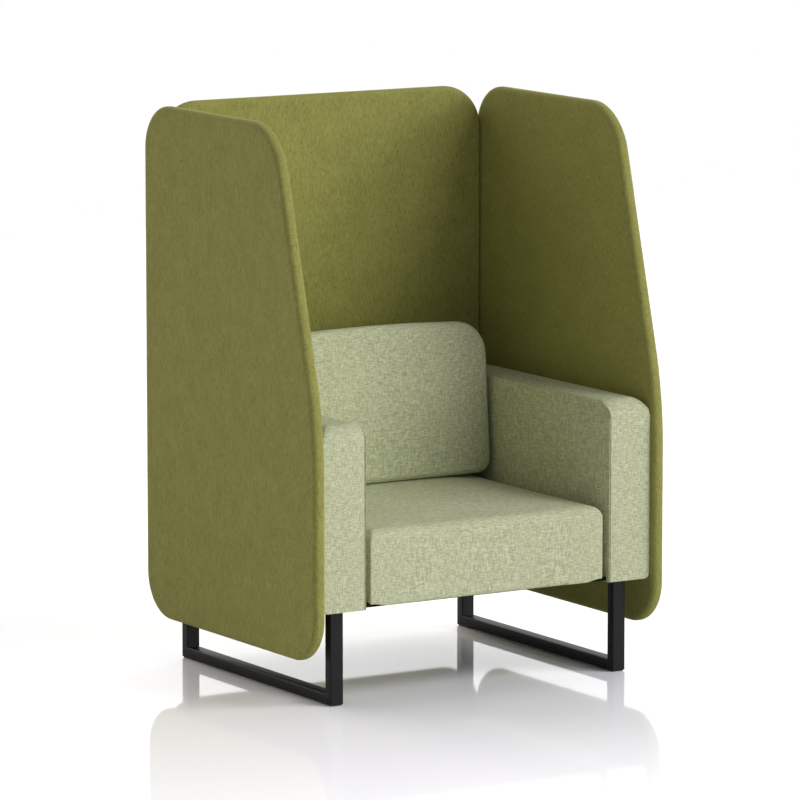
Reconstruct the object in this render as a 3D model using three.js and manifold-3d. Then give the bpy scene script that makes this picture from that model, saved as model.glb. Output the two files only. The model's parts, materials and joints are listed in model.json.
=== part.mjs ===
// A one-seat lounge chair with tall acoustic screens on three sides, standing on two sled frames.
// Millimetres, +Z up. The origin is on the floor, under the middle of the chair, and the front faces -Y.
import * as THREE from "three";
import { mergeVertices } from "three/addons/utils/BufferGeometryUtils.js";
import Module from "manifold-3d";

const wasm = await Module();
wasm.setup();

// Overall sizes of the chair
const chairWidth = 970;
const chairDepth = 800;
const chairHeight = 1350;

// Clearances: between hard pieces, between upholstery layers, and the overrun of a cutting tool
const fit = 0.3;
const softFit = 0.5;
const overrun = 20;

// Screens: a felt sleeve drawn over a core board
const screenThickness = 30;
const screenBoardThickness = 18;
const screenUnderside = 110;
const screenEdgeRound = 12;
const screenEdgePadding = 11;
const screenCornerRadius = 108;
const wingCrestRadius = 140;
const wingBendRadius = 900;
const wingBendHeight = 662;
const wingCrestSetback = 187;
const backScreenCornerRadius = 106;

// Arms: cover, padding and a timber frame
const armWidth = 117;
const armSetback = 17;
const armUnderside = 226.5;
const armTop = 664;
const armShoulderRadius = 50;
const armOuterRadius = 46;
const armSeamRadius = 7;
const armHemRadius = 10;
const armPadding = 12;
const armPostDepth = 45;
const armTopRailHeight = 30;
const armBottomRailHeight = 45;

// Seat: cover, foam, timber frame, webbing and base board
const coverWall = 3;
const seatSideGap = 15;
const seatSetback = 21.5;
const seatRearGap = 21;
const seatUnderside = 231;
const seatEdgeHeight = 413;
const seatCrown = 11;
const seatTopRound = 26;
const seatHemRound = 5;
const seatFrontCornerRadius = 8;
const seatRearCornerRadius = 12;
const seatDrawnIn = 3;
const baseBoardThickness = 9;
const baseBoardSetback = 28;
const seatRailThickness = 22;
const seatRailHeight = 75;

// Woven webbing straps
const strapWidth = 60;
const strapThickness = 2;
const strapInset = 5;
const longStrapCount = 3;
const crossStrapCount = 3;
const strapSpreadShare = 0.26;

// Back: cover, foam, timber frame and straps
const backSideGap = 10;
const backTop = 797;
const backTopBow = 12;
const backTopFall = 42;
const backThickness = 229;
const backLean = 29;
const backCrown = 9;
const backFrontRound = 15;
const backRearRound = 6;
const backShoulderRadius = 76;
const backFootRadius = 34;
const backDrawnIn = 3;
const backPostWidth = 45;
const backPostDepth = 60;
const backTopRailHeight = 55;
const backBottomRailHeight = 60;
const backStrapShares = [0.32, 0.68];

// Sled frames: rectangular tube, mitred at the floor, with a plate on each leg
const tubeWidth = 35;
const tubeDepth = 25;
const tubeWall = 2;
const tubeCornerRadius = 2.5;
const sledInset = 38.5;
const sledFrontSetback = 56;
const sledRearSetback = 43;
const legPlateWidth = 72;
const legPlateThickness = 4;
const legPlateEdge = 19;
const glideHeight = 3;
const glideLength = 45;
const glideInset = 3;
const glidePinRadius = 3;
const glidePinLength = 8;

// Fasteners
const boltRadius = 4;
const boltHeadRadius = 7;
const boltHeadHeight = 5;
const screenBoltDrop = 140;
const screenBoltGrip = 55;
const screenBoltBite = 12;
const backBoltDrop = 200;
const backBoltGrip = 32;
const shoulderRadius = 6;
const shoulderHeadRadius = 9;
const shoulderHeadHeight = 7;
const shoulderThread = 34;
const armBoltSetback = 110;

// Facets: how far an arc may stand off its chord, and the steps of turned and upholstered pieces
const arcSag = 0.45;
const panelEdgeSteps = 3;
const boltSides = 12;
const crownShares = [0.8, 0.55, 0.28];
const fineSteps = { corner: 5, side: 4, edge: 3 };
const plainSteps = { corner: 3, side: 2, edge: 2 };

// Places worked out from the sizes above
const front = -chairDepth / 2;
const rear = chairDepth / 2;
const wingInner = chairWidth / 2 - screenThickness;
const backScreenFront = rear - screenThickness;
const screenWall = (screenThickness - screenBoardThickness) / 2 - fit;
const armOuter = wingInner - fit;
const armInner = armOuter - armWidth;
const armFront = front + armSetback;
const armRear = backScreenFront - fit;
const armLining = coverWall + softFit + armPadding + softFit;
const backWidth = 2 * (armInner - backSideGap);
const backRear = backScreenFront - fit;
const backUnderside = seatEdgeHeight + seatCrown + softFit;
const backPostRear = backRear - coverWall - softFit;
const backPostFront = backPostRear - backPostDepth;
const backStrapFront = backPostFront - fit - strapThickness;
const seatWidth = 2 * (armInner - seatSideGap);
const seatFront = front + seatSetback;
const seatBlockRear = backPostFront - seatRearGap;
const baseBoardFront = front + baseBoardSetback;
const baseBoardTop = seatUnderside + baseBoardThickness;
const seatRailBottom = baseBoardTop + fit;
const seatRailTop = seatRailBottom + seatRailHeight;
const seatRailOuter = seatWidth / 2 - seatDrawnIn - coverWall - softFit;
const seatRailFront = seatFront + seatDrawnIn + coverWall + softFit;
const seatRailRear = seatBlockRear - seatDrawnIn - coverWall - softFit;
const weaveStep = strapThickness + fit;
const seatFoamBottom = seatRailTop + fit + 2 * weaveStep;
const legTop = armUnderside - fit;
const sledFront = front + sledFrontSetback;
const sledRear = rear - sledRearSetback;
const sledMiddle = armInner + sledInset + tubeWidth / 2;
const armFrameBottom = legTop + legPlateThickness + fit;

// Finishes
function finish(color, roughness, metalness = 0) {
  return new THREE.MeshStandardMaterial({ color, roughness, metalness });
}
const felt = finish("#767839", 0.95);
const weave = finish("#aab187", 0.9);
const powderCoat = finish("#262626", 0.45);
const timber = finish("#c4a271", 0.7);
const plywood = finish("#b8935f", 0.7);
const blackBoard = finish("#201f1d", 0.8);
const foam = finish("#e4ddc4", 0.95);
const webbing = finish("#3b3a38", 0.85);
const nylon = finish("#191919", 0.6);
const zinc = finish("#b4b7ba", 0.4, 0.9);

// Turning from a flat outline to the object: which way its u, its v and its depth go
const alongX = new THREE.Matrix4().set(0, 0, 1, 0, 1, 0, 0, 0, 0, 1, 0, 0, 0, 0, 0, 1);
const alongY = new THREE.Matrix4().set(1, 0, 0, 0, 0, 0, -1, 0, 0, 1, 0, 0, 0, 0, 0, 1);
const alongZ = new THREE.Matrix4();

function solidFrom(geometry) {
  geometry.deleteAttribute("normal");
  geometry.deleteAttribute("uv");
  const merged = mergeVertices(geometry);
  const vertProperties = merged.attributes.position.array;
  const triVerts = Uint32Array.from(merged.index.array);
  return new wasm.Manifold(new wasm.Mesh({ numProp: 3, vertProperties, triVerts }));
}

// A finished piece as a named mesh; most are modelled in place, and a repeated pad is set at its own place
function piece(name, solid, material, place = [0, 0, 0]) {
  const { vertProperties, triVerts } = solid.getMesh();
  const geometry = new THREE.BufferGeometry();
  geometry.setAttribute("position", new THREE.BufferAttribute(vertProperties, 3));
  geometry.setIndex(new THREE.BufferAttribute(triVerts, 1));
  geometry.computeVertexNormals();
  const mesh = new THREE.Mesh(geometry, material);
  mesh.name = name;
  mesh.position.set(...place);
  return mesh;
}

function block([x0, x1], [y0, y1], [z0, z1]) {
  const geometry = new THREE.BoxGeometry(x1 - x0, y1 - y0, z1 - z0);
  geometry.translate((x0 + x1) / 2, (y0 + y1) / 2, (z0 + z1) / 2);
  return solidFrom(geometry);
}

// Corners of a rectangle, counter-clockwise from the low left one, each as [u, v, radius]
function rectangle([u0, u1], [v0, v1], [r0, r1, r2, r3]) {
  return [[u0, v0, r0], [u1, v0, r1], [u1, v1, r2], [u0, v1, r3]];
}

// The same outline with every side moved inwards and its corners rounded less
function insetCorners(corners, inset) {
  return corners.map(([u, v, radius], i) => {
    const [pu, pv] = corners.at(i - 1);
    const [nu, nv] = corners[(i + 1) % corners.length];
    const before = new THREE.Vector2(u - pu, v - pv).normalize();
    const after = new THREE.Vector2(nu - u, nv - v).normalize();
    const slide = inset / before.cross(after);
    const moved = new THREE.Vector2(u, v).addScaledVector(after, slide).addScaledVector(before, -slide);
    return [moved.x, moved.y, Math.max(radius - inset, fit)];
  });
}

// Steps of an arc, so that it keeps within the sag that is allowed
function arcSteps(radius, turn) {
  return Math.ceil(turn / (2 * Math.acos(Math.max(1 - arcSag / radius, 0))));
}

// Points round a convex outline: arcs at the corners, and sides that can be drawn in at their middle
function outlinePoints(corners, { sideSteps = 1, drawnIn = 0, cornerSteps = 0 } = {}) {
  const arcs = corners.map(([u, v, radius], i) => {
    if (radius <= fit && cornerSteps === 0) {
      return [new THREE.Vector2(u, v)];
    }
    const [pu, pv] = corners.at(i - 1);
    const [nu, nv] = corners[(i + 1) % corners.length];
    const before = Math.atan2(v - pv, u - pu);
    const turn = THREE.MathUtils.euclideanModulo(Math.atan2(nv - v, nu - u) - before, 2 * Math.PI);
    const reach = radius * Math.tan(turn / 2);
    const centre = [
      u - reach * Math.cos(before) - radius * Math.sin(before),
      v - reach * Math.sin(before) + radius * Math.cos(before),
    ];
    const steps = cornerSteps || arcSteps(radius, turn);
    return Array.from({ length: steps + 1 }, (_, k) => {
      const angle = before - Math.PI / 2 + (turn * k) / steps;
      return new THREE.Vector2(centre[0] + radius * Math.cos(angle), centre[1] + radius * Math.sin(angle));
    });
  });
  return arcs.flatMap((arc, i) => {
    const start = arc.at(-1);
    const end = arcs[(i + 1) % arcs.length][0];
    const side = end.clone().sub(start).normalize();
    const inwards = new THREE.Vector2(-side.y, side.x);
    const between = Array.from({ length: sideSteps - 1 }, (_, k) => {
      const share = (k + 1) / sideSteps;
      return start.clone().lerp(end, share).addScaledVector(inwards, drawnIn * 4 * share * (1 - share));
    });
    return [...arc, ...between];
  });
}

// A straight extrusion of an outline, from one place to another along the chosen axis
function prism(points, [from, to], turn) {
  const settings = { depth: to - from, bevelEnabled: false };
  const geometry = new THREE.ExtrudeGeometry(new THREE.Shape(points), settings);
  geometry.translate(0, 0, turn === alongY ? -to : from);
  return solidFrom(geometry.applyMatrix4(turn));
}

// A panel with softly rounded edges all round
function roundedPanel(corners, [from, to], round, turn) {
  const depth = to - from - 2 * round;
  const geometry = new THREE.ExtrudeGeometry(new THREE.Shape(outlinePoints(corners)), {
    depth,
    bevelThickness: round,
    bevelSize: round,
    bevelOffset: -round,
    bevelSegments: panelEdgeSteps,
  });
  geometry.translate(0, 0, (turn === alongY ? -to : from) + round);
  return solidFrom(geometry.applyMatrix4(turn));
}

// Rings of an edge that is rounded off: how far in, and how high
function roundedEdge(radius, height, rising, steps) {
  return Array.from({ length: steps + 1 }, (_, k) => {
    const angle = (Math.PI / 2) * (k / steps);
    const inset = radius * (1 - Math.sin(angle));
    const offset = radius * (1 - Math.cos(angle));
    return rising ? [inset, height + offset] : [inset, height - offset];
  });
}

// An upholstered block: an outline that rises through rounded edges to a crowned face
function cushionSolid(corners, [low, high], [lowRound, highRound], crown, drawnIn, steps) {
  const lowEdge = roundedEdge(lowRound, low, true, steps.edge);
  const highEdge = roundedEdge(highRound, high, false, steps.edge).reverse();
  const options = { sideSteps: steps.side, drawnIn, cornerSteps: steps.corner };
  const rings = [...lowEdge, ...highEdge].map(([inset, height]) => {
    const points = outlinePoints(insetCorners(corners, inset), options);
    return points.map((point) => [point.x, point.y, height]);
  });
  const middle = [(corners[0][0] + corners[2][0]) / 2, (corners[0][1] + corners[2][1]) / 2];
  const rim = rings.at(-1);
  for (const share of crownShares) {
    const height = high + crown * (1 - share ** 2);
    const towards = (from, to) => from + (to - from) * share;
    rings.push(rim.map(([u, v]) => [towards(middle[0], u), towards(middle[1], v), height]));
  }
  return ringSolid(rings, [...middle, low], [...middle, high + crown]);
}

// A closed solid through rings of equal count, with a point below and a point above
function ringSolid(rings, bottom, top) {
  const count = rings[0].length;
  const positions = [...rings.flat(2), ...bottom, ...top];
  const bottomIndex = rings.length * count;
  const topIndex = bottomIndex + 1;
  const index = [];
  for (let i = 0; i < count; i += 1) {
    const j = (i + 1) % count;
    for (let ring = 0; ring + 1 < rings.length; ring += 1) {
      const low = ring * count;
      const high = low + count;
      index.push(low + i, low + j, high + j, low + i, high + j, high + i);
    }
    index.push(bottomIndex, j, i);
    index.push(topIndex, topIndex - 1 - count + i, topIndex - 1 - count + j);
  }
  const geometry = new THREE.BufferGeometry();
  geometry.setAttribute("position", new THREE.Float32BufferAttribute(positions, 3));
  geometry.setIndex(index);
  return solidFrom(geometry);
}

// A turned fastener along +X from the seat of its head: head, shoulder and thread, each [radius, length]
function turned([headRadius, headHeight], shaft, grow = 0, bore = 0) {
  const profile = [[0, -headHeight - grow - bore], [headRadius + grow, -headHeight - grow - bore]];
  profile.push([headRadius + grow, grow]);
  let along = 0;
  for (const [radius, length] of shaft) {
    profile.push([radius + grow, Math.max(along, grow)]);
    along += length;
    profile.push([radius + grow, along + grow]);
  }
  profile.push([0, along + grow]);
  const points = profile.map(([radius, height]) => new THREE.Vector2(radius, height));
  const geometry = new THREE.LatheGeometry(points, boltSides);
  geometry.rotateZ(-Math.PI / 2);
  return geometry;
}

// The same fastener placed in the chair, pointing towards +X, -X or +Y
function placedFastener(geometry, heading, place) {
  const copy = geometry.clone();
  if (heading === "-x") {
    copy.rotateZ(Math.PI);
  }
  if (heading === "+y") {
    copy.rotateZ(Math.PI / 2);
  }
  copy.translate(...place);
  return solidFrom(copy);
}

// Corners of a wing screen in side view: upright at the front, then leaning back above the arm
function wingCorners() {
  return [
    [front, screenUnderside, screenCornerRadius],
    [rear, screenUnderside, screenCornerRadius],
    [rear, chairHeight, screenCornerRadius],
    [front + wingCrestSetback, chairHeight, wingCrestRadius],
    [front, wingBendHeight, wingBendRadius],
  ];
}

// Corners of the back screen, seen from the front, between the wings
function backScreenCorners() {
  const half = wingInner - fit;
  const radius = backScreenCornerRadius;
  return rectangle([-half, half], [screenUnderside, chairHeight], [radius, radius, radius, radius]);
}

// The slit along the lower edge through which a sleeve is drawn over its board
function sleeveSlit(corners, [from, to], turn) {
  const [left, right] = [corners[0][0] + screenCornerRadius, corners[1][0] - screenCornerRadius];
  const low = screenUnderside - overrun;
  const high = screenUnderside + screenEdgePadding + overrun;
  const slit = rectangle([left, right], [low, high], [fit, fit, fit, fit]);
  return prism(outlinePoints(slit), [from, to], turn);
}

function screenPieces(name, corners, [from, to], turn, cuts) {
  const cavitySpan = [from + screenWall, to - screenWall];
  const boardSpan = [cavitySpan[0] + fit, cavitySpan[1] - fit];
  const cavityOutline = outlinePoints(insetCorners(corners, screenEdgePadding - fit));
  const boardOutline = outlinePoints(insetCorners(corners, screenEdgePadding));
  let sleeve = roundedPanel(corners, [from, to], screenEdgeRound, turn)
    .subtract(prism(cavityOutline, cavitySpan, turn))
    .subtract(sleeveSlit(corners, cavitySpan, turn));
  let board = prism(boardOutline, boardSpan, turn);
  for (const cut of cuts) {
    sleeve = sleeve.subtract(cut);
    board = board.subtract(cut);
  }
  return [piece(`${name}_sleeve`, sleeve, felt), piece(`${name}_board`, board, plywood)];
}

// An arm's outer form, or the same form further in: three profiles that share their edges
function armForm(hand, inset, low) {
  const across = [armInner + inset, armOuter - inset];
  const along = [armFront + inset, armRear - inset];
  const high = armTop - inset;
  const seam = Math.max(armSeamRadius - inset, fit);
  const hem = Math.max(armHemRadius - inset, fit);
  const outer = Math.max(armOuterRadius - inset, fit);
  const shoulder = Math.max(armShoulderRadius - inset, fit);
  const mirrored = (points) => points.map(({ x, y }) => new THREE.Vector2(-x, y)).reverse();
  const facing = (points) => (hand > 0 ? points : mirrored(points));
  const width = hand > 0 ? across : [-across[1], -across[0]];
  const side = outlinePoints(rectangle(along, [low, high], [hem, hem, hem, shoulder]));
  const end = facing(outlinePoints(rectangle(across, [low, high], [seam, hem, outer, seam])));
  const plan = facing(outlinePoints(rectangle(across, along, [seam, hem, hem, seam])));
  return prism(side, width, alongX)
    .intersect(prism(end, along, alongY))
    .intersect(prism(plan, [low, high], alongZ));
}

function armPieces(side, hand, cuts) {
  const hollow = (inset) => armForm(hand, inset, armUnderside - overrun);
  const frameForm = hollow(armLining + fit);
  const across = [armInner, armOuter].map((x) => hand * x).sort((a, b) => a - b);
  const postBottom = armFrameBottom + armBottomRailHeight + fit;
  const frameTop = armTop - armLining;
  const postTop = frameTop - armTopRailHeight - fit;
  const frameFront = armFront + armLining;
  const frameRear = armRear - armLining;
  const frameParts = {
    front_post: [[frameFront, frameFront + armPostDepth], [postBottom, postTop]],
    rear_post: [[frameRear - armPostDepth, frameRear], [postBottom, postTop]],
    top_rail: [[frameFront, frameRear], [postTop + fit, frameTop]],
    bottom_rail: [[frameFront, frameRear], [armFrameBottom, armFrameBottom + armBottomRailHeight]],
  };
  const cutBy = (solid) => cuts.reduce((left, cut) => left.subtract(cut), solid);
  const cover = armForm(hand, 0, armUnderside).subtract(hollow(coverWall));
  const padding = armForm(hand, coverWall + softFit, armUnderside).subtract(hollow(armLining));
  const pieces = [
    piece(`${side}_arm_cover`, cutBy(cover), weave),
    piece(`${side}_arm_padding`, cutBy(padding), foam),
  ];
  for (const [part, [along, up]] of Object.entries(frameParts)) {
    pieces.push(piece(`${side}_arm_${part}`, cutBy(block(across, along, up).intersect(frameForm)), timber));
  }
  return pieces;
}

// Plan of the seat block, and the same plan further in
function seatCorners(inset) {
  const half = seatWidth / 2;
  const radii = [seatFrontCornerRadius, seatFrontCornerRadius, seatRearCornerRadius, seatRearCornerRadius];
  return insetCorners(rectangle([-half, half], [seatFront, seatBlockRear], radii), inset);
}

function seatForm(inset, low, steps = plainSteps) {
  const high = seatEdgeHeight - inset;
  const rounds = [seatHemRound, seatTopRound - inset];
  return cushionSolid(seatCorners(inset), [low, high], rounds, seatCrown, seatDrawnIn, steps);
}

function seatPieces(cuts) {
  const boardHalf = armInner - fit;
  const boardSpan = [-boardHalf, boardHalf];
  const board = block(boardSpan, [baseBoardFront, backRear], [seatUnderside, baseBoardTop]);
  const boardSpace = block(
    [-boardHalf - fit, boardHalf + fit],
    [baseBoardFront - fit, backRear],
    [seatUnderside - overrun, baseBoardTop + fit],
  );
  const cutBy = (solid) => cuts.reduce((left, cut) => left.subtract(cut), solid);
  const hollow = seatForm(coverWall, seatUnderside - overrun);
  const cover = seatForm(0, seatUnderside, fineSteps).subtract(hollow).subtract(boardSpace);
  const foamSpace = block(boardSpan, [seatFront, seatBlockRear], [seatFoamBottom, chairHeight]);
  const railInner = seatRailOuter - seatRailThickness;
  const up = [seatRailBottom, seatRailTop];
  const sideRun = [seatRailFront, seatRailRear];
  const between = [-railInner + fit, railInner - fit];
  const corner = seatForm(coverWall + softFit, seatUnderside - overrun);
  const foamForm = seatForm(coverWall + softFit, seatUnderside);
  const frontDepth = [seatRailFront, seatRailFront + seatRailThickness];
  const rearDepth = [seatRailRear - seatRailThickness, seatRailRear];
  const pieces = [
    piece("seat_cover", cutBy(cover), weave),
    piece("seat_foam", foamForm.intersect(foamSpace), foam),
    piece("seat_base_board", board, blackBoard),
    piece("seat_front_rail", block(between, frontDepth, up), timber),
    piece("seat_rear_rail", block(between, rearDepth, up), timber),
  ];
  for (const [side, hand] of [["left", -1], ["right", 1]]) {
    const across = [hand * railInner, hand * seatRailOuter].sort((a, b) => a - b);
    pieces.push(piece(`seat_${side}_rail`, cutBy(block(across, sideRun, up).intersect(corner)), timber));
  }
  return pieces;
}

// Where the straps of one direction lie, counted from the middle
function strapPlaces(count, span) {
  return Array.from({ length: count }, (_, k) => (k - (count - 1) / 2) * span * strapSpreadShare);
}

// Long straps lie flat on the rails, and each cross strap runs over and under them in turn
function seatStrapPieces() {
  const half = seatRailOuter - strapInset;
  const run = [seatRailFront + strapInset, seatRailRear - strapInset];
  const low = seatRailTop + fit;
  const longPlaces = strapPlaces(longStrapCount, seatWidth);
  const crossPlaces = strapPlaces(crossStrapCount, seatRailRear - seatRailFront);
  const middle = (seatRailFront + seatRailRear) / 2;
  const reach = (strapWidth + 2 * strapThickness) / 2;
  const pieces = longPlaces.map((x, k) => {
    const across = [x - strapWidth / 2, x + strapWidth / 2];
    return piece(`seat_long_strap_${k + 1}`, block(across, run, [low, low + strapThickness]), webbing);
  });
  crossPlaces.forEach((y, k) => {
    const path = [[-half, low], [-seatRailOuter + seatRailThickness, low]];
    longPlaces.forEach((x, crossing) => {
      const over = (crossing + k) % 2 === 0 ? weaveStep : -weaveStep;
      path.push([x - reach, low + over], [x + reach, low + over]);
    });
    path.push([seatRailOuter - seatRailThickness, low], [half, low]);
    const upper = path.map(([x, z]) => new THREE.Vector2(x, z + strapThickness)).reverse();
    const outline = [...path.map(([x, z]) => new THREE.Vector2(x, z)), ...upper];
    const across = [middle + y - strapWidth / 2, middle + y + strapWidth / 2];
    pieces.push(piece(`seat_cross_strap_${k + 1}`, prism(outline, across, alongY), webbing));
  });
  return pieces;
}

// The back's form: crowned to the front and leaning, so that its foot lies further forward than its top,
// with a top that bows up between the corners and falls towards the rear
function backForm(inset, low, steps = plainSteps) {
  const half = backWidth / 2 - inset;
  const shoulder = backShoulderRadius - inset;
  const foot = backFootRadius - inset;
  const corners = rectangle([-half, half], [low, backTop - inset], [foot, foot, shoulder, shoulder]);
  const depth = [inset, backThickness - inset];
  const rounds = [Math.max(backRearRound - inset, fit), backFrontRound - inset];
  const upright = cushionSolid(corners, depth, rounds, backCrown, backDrawnIn, steps);
  return upright.warp((point) => {
    const [u, v, height] = point;
    const forward = height / backThickness;
    const rise = (v - backUnderside) / (backTop - backUnderside);
    const bow = backTopBow * (1 - (2 * u / backWidth) ** 2);
    point[0] = u;
    point[1] = backRear - height - backLean * forward * (1 - rise);
    point[2] = v + (bow - backTopFall * (1 - forward)) * rise;
  });
}

function backPieces(cuts) {
  const cutBy = (solid) => cuts.reduce((left, cut) => left.subtract(cut), solid);
  const inner = backForm(coverWall, backUnderside + coverWall);
  const frameInset = coverWall + softFit;
  const frameForm = backForm(frameInset, backUnderside - overrun);
  const half = backWidth / 2 - backDrawnIn - frameInset;
  const footTop = backUnderside + backFootRadius;
  const footOpening = block(
    [-half - softFit, half + softFit],
    [backStrapFront - softFit, backPostRear + softFit],
    [backUnderside - overrun, footTop],
  );
  const foamSpace = block([-half, half], [front, backStrapFront - fit], [seatUnderside, chairHeight]);
  const postInner = half - backPostWidth;
  const depth = [backPostFront, backPostRear];
  const frameTop = backTop - backTopFall - backDrawnIn - frameInset;
  const between = [-postInner + fit, postInner - fit];
  const cover = backForm(0, backUnderside, fineSteps).subtract(inner).subtract(footOpening);
  const topRail = block(between, depth, [frameTop - backTopRailHeight, frameTop]).intersect(frameForm);
  const bottomRail = block(between, depth, [seatRailBottom, seatRailBottom + backBottomRailHeight]);
  const pieces = [
    piece("back_cover", cutBy(cover), weave),
    piece("back_foam", backForm(frameInset, backUnderside + frameInset).intersect(foamSpace), foam),
    piece("back_top_rail", topRail, timber),
    piece("back_bottom_rail", bottomRail, timber),
  ];
  for (const [side, hand] of [["left", -1], ["right", 1]]) {
    const across = [hand * postInner, hand * half].sort((a, b) => a - b);
    const lower = block(across, depth, [seatRailBottom, footTop]);
    const upper = block(across, depth, [footTop - overrun, frameTop]).intersect(frameForm);
    pieces.push(piece(`back_${side}_post`, cutBy(lower.add(upper)), timber));
  }
  const strapSpan = [-half + strapInset, half - strapInset];
  const strapDepth = [backStrapFront, backStrapFront + strapThickness];
  backStrapShares.forEach((share, k) => {
    const z = backUnderside + (backTop - backUnderside) * share;
    const strap = block(strapSpan, strapDepth, [z - strapWidth / 2, z + strapWidth / 2]);
    pieces.push(piece(`back_strap_${k + 1}`, strap, webbing));
  });
  return pieces;
}

// An upright round pin, or the hole for one
function upright(radius, [low, high]) {
  const geometry = new THREE.CylinderGeometry(radius, radius, high - low, boltSides);
  geometry.rotateX(Math.PI / 2);
  geometry.translate(0, 0, (low + high) / 2);
  return solidFrom(geometry);
}

// A rectangular tube: its outline round a bore, to be trimmed to length
function tube(u, v, span, turn) {
  const radii = [tubeCornerRadius, tubeCornerRadius, tubeCornerRadius, tubeCornerRadius];
  const outer = rectangle(u, v, radii);
  const inner = outlinePoints(insetCorners(outer, tubeWall));
  const bore = prism(inner, [span[0] - overrun, span[1] + overrun], turn);
  return prism(outlinePoints(outer), span, turn).subtract(bore);
}

// One sled: two legs with their plates, and a floor rail mitred between them
function sledPieces(side, hand) {
  const across = [hand * sledMiddle - tubeWidth / 2, hand * sledMiddle + tubeWidth / 2];
  const low = glideHeight;
  const high = low + tubeDepth;
  const gap = fit / 2;
  const trim = (solid, profile) => {
    const points = profile.map(([y, z]) => new THREE.Vector2(y, z));
    return solid.intersect(prism(points, [across[0] - overrun, across[1] + overrun], alongX));
  };
  const leg = (y0, y1, z0, z1) => {
    const profile = [[y0, z0], [y1, z1], [y1, legTop], [y0, legTop]];
    return trim(tube(across, [y0, y1], [0, legTop], alongZ), profile);
  };
  const [a, b] = [sledFront, sledFront + tubeDepth];
  const [c, d] = [sledRear - tubeDepth, sledRear];
  const plateAcross = [hand * sledMiddle - legPlateWidth / 2, hand * sledMiddle + legPlateWidth / 2];
  const plate = (y0, y1) => block(plateAcross, [y0, y1], [legTop, legTop + legPlateThickness]);
  const frontLeg = leg(a, b, low + gap, high + gap).add(plate(a - legPlateEdge, b + legPlateEdge));
  const rearLeg = leg(c, d, high + gap, low + gap).add(plate(c - legPlateEdge, armRear - armLining - fit));
  const rail = trim(tube(across, [low, high], [a - overrun, d + overrun], alongY), [
    [a + gap, low],
    [d - gap, low],
    [c - gap, high],
    [b + gap, high],
  ]);
  const glidePlaces = {
    front: a + glideInset + glideLength / 2,
    rear: d - glideInset - glideLength / 2,
  };
  const hole = upright(glidePinRadius + fit, [low - overrun, low + tubeWall + fit]);
  const holes = Object.values(glidePlaces).map((y) => hole.translate([hand * sledMiddle, y, 0]));
  const pieces = [
    piece(`${side}_front_leg`, frontLeg, powderCoat),
    piece(`${side}_rear_leg`, rearLeg, powderCoat),
    piece(`${side}_floor_rail`, holes.reduce((left, space) => left.subtract(space), rail), powderCoat),
  ];
  const padHalf = tubeWidth / 2 - glideInset;
  const padLength = glideLength / 2;
  const pad = block([-padHalf, padHalf], [-padLength, padLength], [0, glideHeight - fit]);
  const glide = pad.add(upright(glidePinRadius, [glideHeight - fit - tubeWall, glidePinLength]));
  for (const [end, y] of Object.entries(glidePlaces)) {
    pieces.push(piece(`${side}_${end}_glide`, glide, nylon, [hand * sledMiddle, y, 0]));
  }
  return pieces;
}

// Bolts that hold a wing screen to the posts of its arm, with the space that each one takes
function wingBolts(side, hand) {
  const head = [boltHeadRadius, boltHeadHeight];
  const shaft = [[boltRadius, screenBoltGrip + armLining + screenWall + 3 * fit + screenBoltBite]];
  const start = hand * (armOuter - armLining - screenBoltGrip);
  const heading = hand > 0 ? "+x" : "-x";
  const bore = armOuter - armInner - armLining - screenBoltGrip - armLining;
  const places = {
    front: armFront + armLining + armPostDepth / 2,
    rear: armRear - armLining - armPostDepth / 2,
  };
  return Object.entries(places).map(([end, y]) => {
    const place = [start, y, armTop - screenBoltDrop];
    return {
      mesh: piece(`${side}_${end}_screen_bolt`, placedFastener(turned(head, shaft), heading, place), zinc),
      space: placedFastener(turned(head, shaft, fit, bore), heading, place),
    };
  });
}

// Bolts that hold the back screen to the back posts
function backBolts() {
  const head = [boltHeadRadius, boltHeadHeight];
  const wall = coverWall + softFit + fit + screenWall + fit;
  const shaft = [[boltRadius, backBoltGrip + wall + screenBoltBite]];
  const bore = backPostDepth - backBoltGrip - boltHeadHeight;
  const x = backWidth / 2 - backDrawnIn - coverWall - softFit - backPostWidth / 2;
  return [["left", -x], ["right", x]].map(([side, place]) => {
    const at = [place, backPostRear - backBoltGrip, backTop - backBoltDrop];
    return {
      mesh: piece(`back_${side}_screen_bolt`, placedFastener(turned(head, shaft), "+y", at), zinc),
      space: placedFastener(turned(head, shaft, fit, bore), "+y", at),
    };
  });
}

// Shoulder bolts that tie the seat frame to an arm and keep the gap between them
function armBolts(side, hand) {
  const start = seatRailOuter - seatRailThickness - fit;
  const shoulder = armInner + armLining - start;
  const head = [shoulderHeadRadius, shoulderHeadHeight];
  const shaft = [[shoulderRadius, shoulder], [boltRadius, shoulderThread]];
  const heading = hand > 0 ? "+x" : "-x";
  const height = armFrameBottom + armBottomRailHeight / 2;
  const places = { front: seatRailFront + armBoltSetback, rear: seatRailRear - armBoltSetback };
  return Object.entries(places).map(([end, y]) => {
    const place = [hand * start, y, height];
    return {
      mesh: piece(`${side}_${end}_arm_bolt`, placedFastener(turned(head, shaft), heading, place), zinc),
      space: placedFastener(turned(head, shaft, fit), heading, place),
    };
  });
}

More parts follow.
